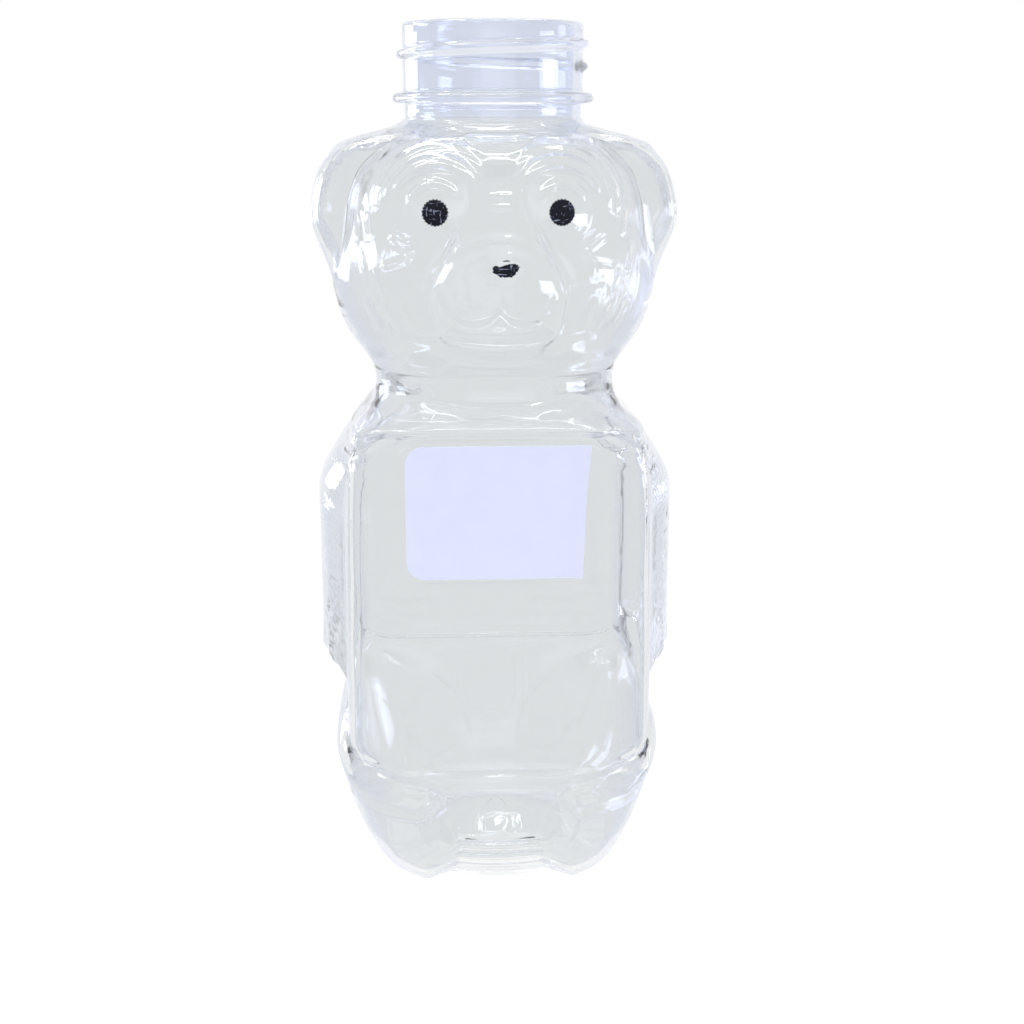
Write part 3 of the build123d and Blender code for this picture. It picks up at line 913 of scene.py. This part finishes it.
@dataclass
class BlownBottle:
    """The clear bottle as one closed wall: outside, rim and inside."""

    form: BearForm = field(default_factory=BearForm)
    neck: NeckForm = field(default_factory=NeckForm)
    finish: ClearPet = field(default_factory=ClearPet)
    wall: float = 0.62
    columns: int = 280
    # where the columns are closer: by how much, degrees from straight ahead, and how wide
    closer: tuple = ((2.3, 0.0, 50.0), (2.4, 42.8, 2.2), (1.6, 139.3, 2.5))
    # start, end and step of the rows over the ribs, the feet, the panels' edges and the head
    bands: tuple = (
        (3.0, 11.6, 0.33),
        (12.2, 22.2, 1.4),
        (22.6, 28.2, 0.6),
        (28.7, 32.8, 0.45),
        (34.0, 47.0, 1.5),
        (48.5, 76.0, 3.0),
        (78.0, 90.5, 1.1),
        (91.2, 97.8, 0.7),
        (98.4, 124.0, 0.72),
        (124.2, 149.4, 0.46),
    )
    heel: float = 12.0
    top_row: float = 149.7
    # rings of the base, as shares of the way from its middle to the heel
    base_rings: tuple = (0.12, 0.25, 0.38, 0.5, 0.6, 0.68, 0.74, 0.80, 0.87, 0.94)
    push_up_radius: float = 17.0
    push_up_height: float = 6.0
    base_wall: float = 1.0
    # height up to which the wall gets thinner, and where the inside turns into the bore and how fast
    base_fade: float = 8.0
    neck_fade: Pair = (147.6, 3.4)
    inner_passes: int = 10
    inner_slack: float = 0.26
    # the inside has all of its rows only next to the base's middle, and every third of the others
    inner_skip: int = 3
    inner_full: int = 10

    def angles(self) -> Grid:
        """Column angles, closest together at the face.

        The spacing is the inverse of a density with a wide bell at the front and narrow ones
        at the panels' edges, so the columns are where its running sum passes equal steps.
        """
        fine = np.linspace(-math.pi / 2 - math.pi, -math.pi / 2 + math.pi, 7201)
        ahead = np.abs(np.degrees(fine + math.pi / 2))
        density = 1 + sum(more * ridge(ahead - place, width) for more, place, width in self.closer)
        total = np.concatenate([[0], np.cumsum((density[1:] + density[:-1]) / 2)])
        return np.interp(np.arange(self.columns) / self.columns, total / total[-1], fine)

    def rows(self) -> Grid:
        """Heights of the rows up the outside: close at the heel, and closer on the head than below."""
        heel = self.heel * (1 - np.cos(np.linspace(0, math.pi / 2, 15)[:7]))
        top = np.linspace(self.top_row, self.neck.seat, 4)
        return np.concatenate([heel, *[np.arange(*band) for band in self.bands], top])

    def outside(self, angles: Grid) -> Grid:
        """Points of the outside from near the base's middle up to the neck seat, rows by columns.

        The pushed-up base is a low dome with a soft edge, (1 - t^2)^1.2.
        """
        heel = self.form.radius(np.zeros_like(angles), angles)
        base_radius = np.array(self.base_rings)[:, None] * heel[None, :]
        t = np.clip(base_radius / self.push_up_radius, 0, 1)
        z = np.repeat(self.rows()[:, None], len(angles), axis=1)
        radius = self.form.radius(z, np.broadcast_to(angles, z.shape))
        z = np.vstack([self.push_up_height * (1 - t * t) ** 1.2, z])
        return polar(np.vstack([base_radius, radius]), z, angles)

    @staticmethod
    def normals(points: Grid) -> Grid:
        """Outward normals of a closed grid: the cross product of its two central differences."""
        around = np.roll(points, -1, axis=1) - np.roll(points, 1, axis=1)
        normal = np.cross(around, np.gradient(points, axis=0))
        return normal / np.maximum(np.linalg.norm(normal, axis=-1, keepdims=True), 1e-9)

    @staticmethod
    def soften(points: Grid, passes: int) -> Grid:
        """Average each point with its four neighbours a few times, as the inside flows smoother."""
        for _ in range(passes):
            around = (np.roll(points, 1, axis=1) + np.roll(points, -1, axis=1)) / 2
            middle = points[1:-1] * 0.5 + 0.25 * around[1:-1] + 0.125 * (points[2:] + points[:-2])
            points = np.concatenate([points[:1], middle, points[-1:]])
        return points

    def inside(self, outside: Grid) -> Grid:
        """Points of the inside: the outside softened, then moved in along its normals by the wall.

        Softening moves no point further than the slack, so that the wall keeps its thickness.
        """
        shift = self.soften(outside, self.inner_passes) - outside
        far = np.linalg.norm(shift, axis=-1, keepdims=True)
        soft = outside + shift * (self.inner_slack / np.maximum(far, self.inner_slack))
        z = outside[..., 2:3]
        thick = self.wall + (self.base_wall - self.wall) * (1 - smooth(z / self.base_fade))
        inner = soft - self.normals(soft) * thick
        near_neck = smooth((z - self.neck_fade[0]) / self.neck_fade[1])
        flat = np.linalg.norm(inner[..., :2], axis=-1, keepdims=True)
        scale = 1 + near_neck * (self.neck.bore / flat - 1)
        return np.concatenate([inner[..., :2] * scale, inner[..., 2:]], axis=-1)

    def build(self) -> Object:
        """Make the bottle: base pole, outside, neck, rim, bore, inside, and the inner pole."""
        angles = self.angles()
        body = self.outside(angles)
        neck, bore = (
            polar(radius, z, angles) for z, radius in (self.neck.outer(angles), self.neck.inner(angles))
        )
        inner = self.inside(body)[::-1]
        full = len(inner) - self.inner_full
        kept = np.r_[0 : full : self.inner_skip, full : len(inner)]
        rows = np.concatenate([body, neck, bore, inner[kept]])
        count, columns = rows.shape[:2]
        poles = np.array([[0, 0, self.push_up_height], [0, 0, self.push_up_height + self.base_wall]])
        points = np.concatenate([rows.reshape(-1, 3), poles])
        faces = [
            tube_faces(count, columns),
            cap_faces(0, columns, count * columns, upward=False),
            cap_faces((count - 1) * columns, columns, count * columns + 1, upward=True),
        ]
        piece = mesh_object("clear_bottle", points, faces, self.finish.build())
        z = body[..., 2]
        for name, shown in self.form.masks(z, np.broadcast_to(angles, z.shape)).items():
            values = np.zeros(len(points))
            values[: shown.size] = shown.ravel()
            attribute(piece, name, values)
        attribute(piece, "thick", smooth((points[:, 2] - self.neck.seat + 1.0) / 1.5))
        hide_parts("bottle_body", "neck_finish")
        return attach(piece, "root")


@dataclass
class PaperLabel:
    """The paper label and the glue film under it."""

    paper: UncoatedPaper = field(default_factory=UncoatedPaper)
    glue: LabelGlue = field(default_factory=LabelGlue)
    left: float = 17.9
    right_top: float = 17.4
    right_bottom: float = 16.0
    top: float = 92.0
    height: float = 26.2
    corner: float = 3.6
    # where the two cuts of the right edge meet, as a share of the height, and how far out that is
    cut_meets: float = 0.37
    cut_step: float = 0.2
    plane: float = 29.2
    glue_thickness: float = 0.05
    glue_inset: float = 0.15
    paper_thickness: float = 0.12
    curl: float = 0.22

    def edges(self, z: Grid) -> tuple[Grid, Grid]:
        """Left and right edge by height: round corners on the left, two scissor cuts on the right."""
        from_end = np.minimum(self.top - z, z - (self.top - self.height))
        short = np.clip(self.corner - from_end, 0, self.corner)
        left = -self.left + self.corner - np.sqrt(np.clip(self.corner**2 - short**2, 0, None))
        nick = self.right_top * 0.25 + self.right_bottom * 0.75 + self.cut_step
        cuts = [self.right_top, nick, self.right_bottom]
        return left, np.interp((self.top - z) / self.height, [0, self.cut_meets, 1], cuts)

    def layer(self, name: str, planes: Pair, inset: float, curl: float, finish: Material) -> Object:
        """One closed sheet between two planes.

        The sheet is a grid of heights by shares across, and its front and back meet at the rim.

        Args:
            name: the piece's name.
            planes: how far its back and its front stand off the panel.
            inset: how far its rim is kept in from the label's edge.
            curl: how far its cut right edge lifts.
            finish: its material.

        Returns:
            The piece.
        """
        # both grids are finer next to the rim
        down = np.concatenate([[0.0, 0.004, 0.012], np.linspace(0.03, 0.97, 48), [0.988, 0.996, 1.0]])
        across = np.concatenate([[0.0, 0.003], np.linspace(0.012, 0.988, 60), [0.997, 1.0]])[None, :]
        z = (self.top - inset - down * (self.height - 2 * inset))[:, None]
        left, right = self.edges(z)
        x = (left + inset) + across * (right - left - 2 * inset)
        lift = curl * smooth((across - 0.86) / 0.14) ** 1.6 + 0.4 * curl * smooth((0.05 - across) / 0.05)
        z, lift = np.broadcast_to(z, x.shape), np.broadcast_to(lift, x.shape)
        back, front = (np.stack([x, -(self.plane + off + lift), z], axis=-1) for off in planes)
        rows, columns = x.shape
        i, j = np.meshgrid(np.arange(rows - 1), np.arange(columns - 1), indexing="ij")
        a = i * columns + j
        face = np.stack([a, a + columns, a + columns + 1, a + 1], axis=-1).reshape(-1, 4)
        rear = np.stack([a, a + 1, a + columns + 1, a + columns], axis=-1).reshape(-1, 4) + rows * columns
        rim = np.concatenate(
            [
                np.arange(columns),
                np.arange(1, rows) * columns + columns - 1,
                (rows - 1) * columns + np.arange(columns - 2, -1, -1),
                np.arange(rows - 2, 0, -1) * columns,
            ]
        )
        after = np.roll(rim, -1)
        side = np.stack([rim, after, after + rows * columns, rim + rows * columns], axis=-1)
        points = np.concatenate([front.reshape(-1, 3), back.reshape(-1, 3)])
        return mesh_object(name, points, [face, rear, side], finish)

    def build(self) -> list[Object]:
        """Make the glue film and the paper, which stand for the two label nodes."""
        glued = self.glue_thickness
        film = self.layer("label_glue_film", (0.0, glued), self.glue_inset, 0.0, self.glue.build())
        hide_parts("label_adhesive")
        between = (glued, glued + self.paper_thickness)
        sheet = self.layer("label_sheet", between, 0.0, self.curl, self.paper.build())
        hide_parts("label_paper")
        return [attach(film, "root"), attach(sheet, "root")]


class Mark(Enum):
    """The printed marks, by the node that each stands for."""

    LEFT_EYE = "eye_print_left"
    RIGHT_EYE = "eye_print_right"
    NOSE = "nose_print"


@dataclass
class PadPrint:
    """Ink marks that follow the bottle's surface, with ragged edges."""

    form: BearForm
    finish: PadInk = field(default_factory=PadInk)
    under: float = 0.012
    over: float = 0.07
    rings: int = 12
    spokes: int = 216
    eye_radius: float = 2.35
    nose_middle: Pair = (1.1, 125.4)
    # the nose's edge as x and z from its middle, anticlockwise from its right tip
    nose_edge: tuple = (
        (2.50, 0.40),
        (1.75, 1.00),
        (0.60, 1.02),
        (-0.35, 0.80),
        (-1.20, 0.52),
        (-1.90, 0.80),
        (-2.45, 0.50),
        (-2.38, -0.50),
        (-1.70, -0.80),
        (-1.10, -1.30),
        (0.98, -1.32),
        (1.55, -0.92),
        (2.50, 0.40),
    )
    # the bow over the nose: half width, half thickness and bend, and its place from the nose's middle
    bow: Triple = (0.66, 0.10, 0.15)
    bow_place: Pair = (0.05, 1.55)
    # the ragged edge's waves: height, count around the mark, and share of the phase
    waves: tuple = ((1.0, 23, 1), (0.8, 41, 2), (0.6, 67, 3))
    raggedness: float = 0.034

    def ragged(self, turn: Grid, phase: float) -> Grid:
        """A factor near 1 by angle: fixed fast waves, in steps as ink breaks off at a mould's grain."""
        waves = sum(height * np.sin(count * turn + share * phase) for height, count, share in self.waves)
        return 1 + self.raggedness * np.round(waves)

    def patches(self, mark: Mark) -> list[tuple[float, float, Grid, Grid]]:
        """The mark's patches of ink: middle x and z, and the edge's x and z from there.

        An eye is one round patch. The nose is one patch with pointed sides, and a thin bow over it.
        """
        turn = np.linspace(0, 2 * math.pi, self.spokes, endpoint=False)
        if mark is Mark.NOSE:
            x, z = self.nose_middle
            edge = np.array(self.nose_edge)
            share = turn / (2 * math.pi) * (len(edge) - 1)
            rough = self.ragged(turn, 0.7)
            edge_x, edge_z = (np.interp(share, np.arange(len(edge)), places) * rough for places in edge.T)
            half, thick, bend = self.bow
            bow_x = half * np.cos(turn)
            bow_z = thick * np.sin(turn) * self.ragged(turn, 1.9) ** 4 - bend * bow_x**2
            return [(x, z, edge_x, edge_z), (x + self.bow_place[0], z + self.bow_place[1], bow_x, bow_z)]
        side = -1 if mark is Mark.LEFT_EYE else 1
        rough = self.eye_radius * self.ragged(turn, 1.3 + side)
        face = self.form.face
        return [(side * face.eye_x, face.eye_z, np.cos(turn) * rough, np.sin(turn) * rough)]

    def lay(self, x: Grid, z: Grid, lift: float) -> Grid:
        """Points on the front surface above x and z, lifted off it straight away from the axis."""
        angle = self.form.front_angle(x, z)
        return polar(self.form.radius(z, angle) + lift, z, angle).reshape(-1, 3)

    def skin(self, middle_x: float, middle_z: float, edge_x: Grid, edge_z: Grid) -> tuple[Grid, list[Grid]]:
        """One patch as a closed skin laid on the surface: rings from its middle to its edge, twice.

        Args:
            middle_x: the middle's x.
            middle_z: the middle's height.
            edge_x: the edge's x from the middle, by angle.
            edge_z: the edge's height from the middle, by angle.

        Returns:
            The points and the faces.
        """
        share = np.linspace(0, 1, self.rings)[1:, None]
        x, z = middle_x + share * edge_x[None, :], middle_z + share * edge_z[None, :]
        centre = (np.array([[middle_x]]), np.array([[middle_z]]))
        parts = [self.lay(*place, lift) for place in ((x, z), centre) for lift in (self.over, self.under)]
        rows, columns = x.shape
        grid = tube_faces(rows, columns)
        rim = (rows - 1) * columns + np.arange(columns)
        after = np.roll(rim, -1)
        faces = [
            grid[:, ::-1],
            grid + rows * columns,
            np.stack([rim, rim + rows * columns, after + rows * columns, after], axis=-1),
            cap_faces(0, columns, 2 * rows * columns, upward=True),
            cap_faces(rows * columns, columns, 2 * rows * columns + 1, upward=False),
        ]
        return np.concatenate(parts), faces

    def build_one(self, mark: Mark, finish: Material) -> Object:
        """Make one mark from its patches."""
        points, faces = np.zeros((0, 3)), []
        for patch in self.patches(mark):
            more_points, more_faces = self.skin(*patch)
            faces += [group + len(points) for group in more_faces]
            points = np.concatenate([points, more_points])
        piece = mesh_object(f"{mark.value}_ink", points, faces, finish)
        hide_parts(mark.value)
        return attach(piece, "root")

    def build(self) -> list[Object]:
        """Make every mark."""
        finish = self.finish.build()
        return [self.build_one(mark, finish) for mark in Mark]


@dataclass
class Studio:
    """Floor, world, lamps and camera. The camera's and the lamps' sizes and places are in metres."""

    distance: float = 0.300
    eye_height: float = 0.155
    pitch: float = 15.64
    side_step: float = 2.0
    yaw: float = 0.71
    lens: float = 52.0
    bounces: int = 64
    floor_colour: str = "#F6F6F6"
    # radii of the floor's rings in millimetres, its points around, and how many grains it has to a metre
    floor_rings: tuple = (50.0, 300.0, 1000.0, 3000.0, 8000.0)
    floor_spokes: int = 64
    floor_grains: float = 900.0
    # where the floor starts to pass into the background and where it has done so, in metres
    floor_fade: Pair = (0.07, 0.26)
    fill: float = 0.54
    # name, place, height of the spot on the axis that it faces, size, power in watts and colour
    lamps: tuple = (
        ("window_left", (-0.80, 0.14, 0.32), 0.12, (0.27, 0.22), 1.3, "#D8E0FF"),
        ("window_behind", (-0.62, 0.60, 0.06), 0.09, (0.40, 0.40), 2.2, "#D8DCFF"),
        ("window_right", (0.76, -0.20, 0.08), 0.11, (0.34, 0.20), 1.4, "#D8E0FF"),
        ("strip_behind", (-0.10, 0.27, 0.92), 0.12, (0.95, 0.07), 3.6, "#FFFFFF"),
        ("strip_front", (-0.05, -0.20, 0.95), 0.12, (0.80, 0.06), 2.6, "#FFFFFF"),
        ("front_soft", (0.10, -1.15, 0.45), 0.09, (1.00, 0.80), 1.6, "#F4F6FF"),
    )

    @staticmethod
    def placed(data: ID, place: tuple, turn: Euler) -> Object:
        """Put a camera or a lamp into the scene at a place, turned."""
        item = bpy.data.objects.new(data.name, data)
        item.location, item.rotation_euler = place, turn
        bpy.context.scene.collection.objects.link(item)
        return item

    def camera(self) -> None:
        """Put the camera at the photograph's place: level with the neck, looking down a little."""
        data = bpy.data.cameras.new("camera")
        data.lens = self.lens
        data.sensor_width = 36.0
        data.clip_start = 0.01
        turn = math.radians(self.side_step)
        place = (-self.distance * math.sin(turn), -self.distance * math.cos(turn), self.eye_height)
        aim = Euler((math.radians(90 - self.pitch), 0, -math.radians(self.side_step + self.yaw)))
        bpy.context.scene.camera = self.placed(data, place, aim)

    def lamp(self, name: str, place: tuple, aim: float, size: tuple, power: float, colour: str) -> None:
        """Add one soft rectangular lamp that faces a spot on the bottle's axis."""
        data = bpy.data.lights.new(name, "AREA")
        data.shape = "RECTANGLE"
        data.size, data.size_y = size
        data.energy = power
        data.color = linear(colour)[:3]
        facing = (Vector((0, 0, aim)) - Vector(place)).to_track_quat("-Z", "Y")
        self.placed(data, place, facing.to_euler())

    @staticmethod
    def mirrored(tree: NodeTree, other: Node | NodeSocket) -> Node:
        """1 for rays that come through or off something shiny, and another value for the rest."""
        path = add_node(tree, "LightPath").outputs
        shiny = {0: path["Is Transmission Ray"], 1: path["Is Glossy Ray"]}
        shiny = add_node(tree, "Math", {"operation": "MAXIMUM", **shiny})
        return add_node(tree, "Math", {"operation": "MAXIMUM", 0: other, 1: shiny})

    def floor(self) -> None:
        """A wide pale disc under the bottle, as rings, that passes into the white background."""
        rings, spokes = np.array(self.floor_rings)[:, None], self.floor_spokes
        turn = np.linspace(0, 2 * math.pi, spokes, endpoint=False)[None, :]
        points = polar(rings, np.zeros((len(rings), spokes)), turn).reshape(-1, 3)
        last = len(points)
        faces = [tube_faces(len(rings), spokes)[:, ::-1], cap_faces(0, spokes, last, upward=True)]
        material, tree, place = new_material("Painted floor, matt and pale")
        grain = add_node(tree, "TexNoise", {"Scale": self.floor_grains, "Detail": 2.0, "Vector": place})
        bump = add_node(tree, "Bump", {"Strength": 0.1, "Distance": 0.0001, "Height": grain})
        surface = {"Base Color": linear(self.floor_colour), "Roughness": 0.9, "Specular IOR Level": 0.1}
        shader = add_node(tree, "BsdfPrincipled", {**surface, "Normal": bump})
        length = add_node(tree, "VectorMath", {"operation": "LENGTH", 0: place}).outputs["Value"]
        limits = {"From Min": self.floor_fade[0], "From Max": self.floor_fade[1]}
        far = add_node(tree, "MapRange", {"interpolation_type": "SMOOTHSTEP", **limits, "Value": length})
        seen = add_node(tree, "LightPath").outputs["Is Camera Ray"]
        shown = add_node(tree, "Math", {"operation": "MULTIPLY", 0: far, 1: seen})
        white = add_node(tree, "Emission", {"Color": linear("#FFFFFF"), "Strength": 1.0})
        both = add_node(tree, "MixShader", {0: self.mirrored(tree, shown), 1: shader, 2: white})
        add_node(tree, "OutputMaterial", {"Surface": both})
        mesh_object("floor", np.concatenate([points, [[0, 0, 0]]]), faces, material)

    def world(self) -> None:
        """White where the camera, gloss or clear plastic looks past everything, and softer as a light."""
        world = bpy.data.worlds.new("studio")
        world.use_nodes = True
        tree = world.node_tree
        tree.nodes.clear()
        looked = self.mirrored(tree, add_node(tree, "LightPath").outputs["Is Camera Ray"])
        strength = add_node(tree, "MapRange", {"To Min": self.fill, "To Max": 1.0, "Value": looked})
        back = add_node(tree, "Background", {"Color": linear("#FFFFFF"), "Strength": strength})
        add_node(tree, "OutputWorld", {"Surface": back})
        bpy.context.scene.world = world

    def build(self) -> None:
        """Set the stage: camera, floor, world and lamps."""
        self.camera()
        self.floor()
        self.world()
        for lamp in self.lamps:
            self.lamp(*lamp)
        cycles = bpy.context.scene.cycles
        cycles.max_bounces = cycles.transmission_bounces = cycles.transparent_max_bounces = self.bounces
        cycles.glossy_bounces = self.bounces
        bpy.context.scene.view_settings.view_transform = "Standard"


def main() -> None:
    """Build the scene in order and report each piece."""
    logging.basicConfig(level=logging.INFO, format="%(message)s")
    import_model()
    Studio().build()
    bottle = BlownBottle()
    pieces = [bottle.build(), *PaperLabel().build(), *PadPrint(bottle.form).build()]
    for piece in pieces:
        LOG.info("%s: %d faces", piece.name, len(piece.data.polygons))


if __name__ == "__main__":
    main()
